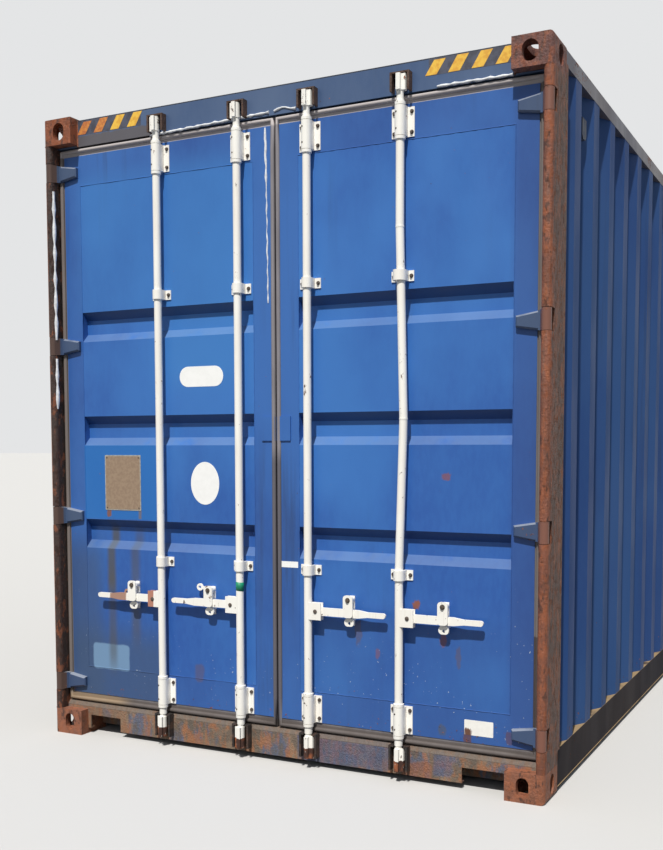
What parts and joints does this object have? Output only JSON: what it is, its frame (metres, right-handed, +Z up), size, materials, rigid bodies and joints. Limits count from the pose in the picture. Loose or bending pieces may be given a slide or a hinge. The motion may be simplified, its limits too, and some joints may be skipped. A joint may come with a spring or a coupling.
{
  "type": "shipping_container",
  "caption": "Forty foot high cube dry freight container, weathered blue steel, with hinged double doors, cam lock bars and lift handles",
  "frame": {"origin": "middle of the base at ground level, under the bottom corner castings", "axes": "+X to the right, seen from the door end; +Y along the length, from the door end to the blind end; +Z up"},
  "size_m": [2.438, 12.192, 2.896],
  "materials": {
    "body_paint": "weathered",
    "frame_steel": "rusted",
    "gear_paint": "weathered",
    "under_coat": "matte",
    "floor_wood": "worn",
    "seal_rubber": "aged",
    "vent_plastic": "matte"
  },
  "bodies": {
    "body_frame": {"corner_castings_door_end": "frame_steel", "corner_castings_blind_end": "frame_steel", "door_end_posts": "frame_steel", "blind_end_posts": "body_paint", "door_header": "body_paint", "door_sill": "body_paint", "cam_keepers": "frame_steel", "hinge_pins": "frame_steel", "blind_end_header": "body_paint", "blind_end_sill": "body_paint", "top_side_rails": "body_paint", "bottom_side_rails": "body_paint", "side_wall_left": "body_paint", "side_wall_right": "body_paint", "blind_end_wall": "body_paint", "roof_panel": "body_paint", "floor": "floor_wood", "cross_members": "under_coat", "gooseneck_tunnel": "under_coat", "side_vents": "vent_plastic"},
    "door_left": {"door_frame_left": "body_paint", "door_panel_left": "body_paint", "door_gasket_left": "seal_rubber", "hinge_blades_left": "frame_steel", "bar_brackets_left": "gear_paint", "handle_retainers_left": "gear_paint"},
    "door_right": {"door_frame_right": "body_paint", "door_panel_right": "body_paint", "door_gasket_right": "seal_rubber", "hinge_blades_right": "frame_steel", "bar_brackets_right": "gear_paint", "handle_retainers_right": "gear_paint"},
    "bar_1": {"lock_bar_1": "gear_paint"},
    "bar_2": {"lock_bar_2": "gear_paint"},
    "bar_3": {"lock_bar_3": "gear_paint"},
    "bar_4": {"lock_bar_4": "gear_paint"},
    "handle_1": {"lock_handle_1": "gear_paint"},
    "handle_2": {"lock_handle_2": "gear_paint"},
    "handle_3": {"lock_handle_3": "gear_paint"},
    "handle_4": {"lock_handle_4": "gear_paint"},
    "catch_1": {"lock_catch_1": "gear_paint"},
    "catch_2": {"lock_catch_2": "gear_paint"},
    "catch_3": {"lock_catch_3": "gear_paint"},
    "catch_4": {"lock_catch_4": "gear_paint"}
  },
  "joints": [
    {"name": "door_left_hinge", "type": "hinge", "parent": "body_frame", "child": "door_left", "pos_m": [-1.199, -6.076, 1.45], "axis": [0, 0, -1], "range_deg": [0, 262]},
    {"name": "door_right_hinge", "type": "hinge", "parent": "body_frame", "child": "door_right", "pos_m": [1.199, -6.076, 1.45], "axis": [0, 0, 1], "range_deg": [0, 262]},
    {"name": "bar_1_turn", "type": "hinge", "parent": "door_left", "child": "bar_1", "pos_m": [-0.594, -6.068, 1.45], "axis": [0, 0, -1], "range_deg": [-105, 0]},
    {"name": "handle_1_lift", "type": "hinge", "parent": "bar_1", "child": "handle_1", "pos_m": [-0.636, -6.07, 0.684], "axis": [0, -1, 0], "range_deg": [-15, 0]},
    {"name": "catch_1_swing", "type": "hinge", "parent": "door_left", "child": "catch_1", "pos_m": [-0.754, -6.055, 0.741], "axis": [0, -1, 0], "range_deg": [-100, 0]},
    {"name": "bar_2_turn", "type": "hinge", "parent": "door_left", "child": "bar_2", "pos_m": [-0.171, -6.068, 1.45], "axis": [0, 0, -1], "range_deg": [-105, 0]},
    {"name": "handle_2_lift", "type": "hinge", "parent": "bar_2", "child": "handle_2", "pos_m": [-0.213, -6.07, 0.684], "axis": [0, -1, 0], "range_deg": [-15, 0]},
    {"name": "catch_2_swing", "type": "hinge", "parent": "door_left", "child": "catch_2", "pos_m": [-0.331, -6.055, 0.741], "axis": [0, -1, 0], "range_deg": [-100, 0]},
    {"name": "bar_3_turn", "type": "hinge", "parent": "door_right", "child": "bar_3", "pos_m": [0.171, -6.068, 1.45], "axis": [0, 0, 1], "range_deg": [-105, 0]},
    {"name": "handle_3_lift", "type": "hinge", "parent": "bar_3", "child": "handle_3", "pos_m": [0.213, -6.07, 0.684], "axis": [0, 1, 0], "range_deg": [-15, 0]},
    {"name": "catch_3_swing", "type": "hinge", "parent": "door_right", "child": "catch_3", "pos_m": [0.367, -6.055, 0.741], "axis": [0, 1, 0], "range_deg": [-100, 0]},
    {"name": "bar_4_turn", "type": "hinge", "parent": "door_right", "child": "bar_4", "pos_m": [0.594, -6.068, 1.45], "axis": [0, 0, 1], "range_deg": [-105, 0]},
    {"name": "handle_4_lift", "type": "hinge", "parent": "bar_4", "child": "handle_4", "pos_m": [0.636, -6.07, 0.684], "axis": [0, 1, 0], "range_deg": [-15, 0]},
    {"name": "catch_4_swing", "type": "hinge", "parent": "door_right", "child": "catch_4", "pos_m": [0.79, -6.055, 0.741], "axis": [0, 1, 0], "range_deg": [-100, 0]}
  ]
}
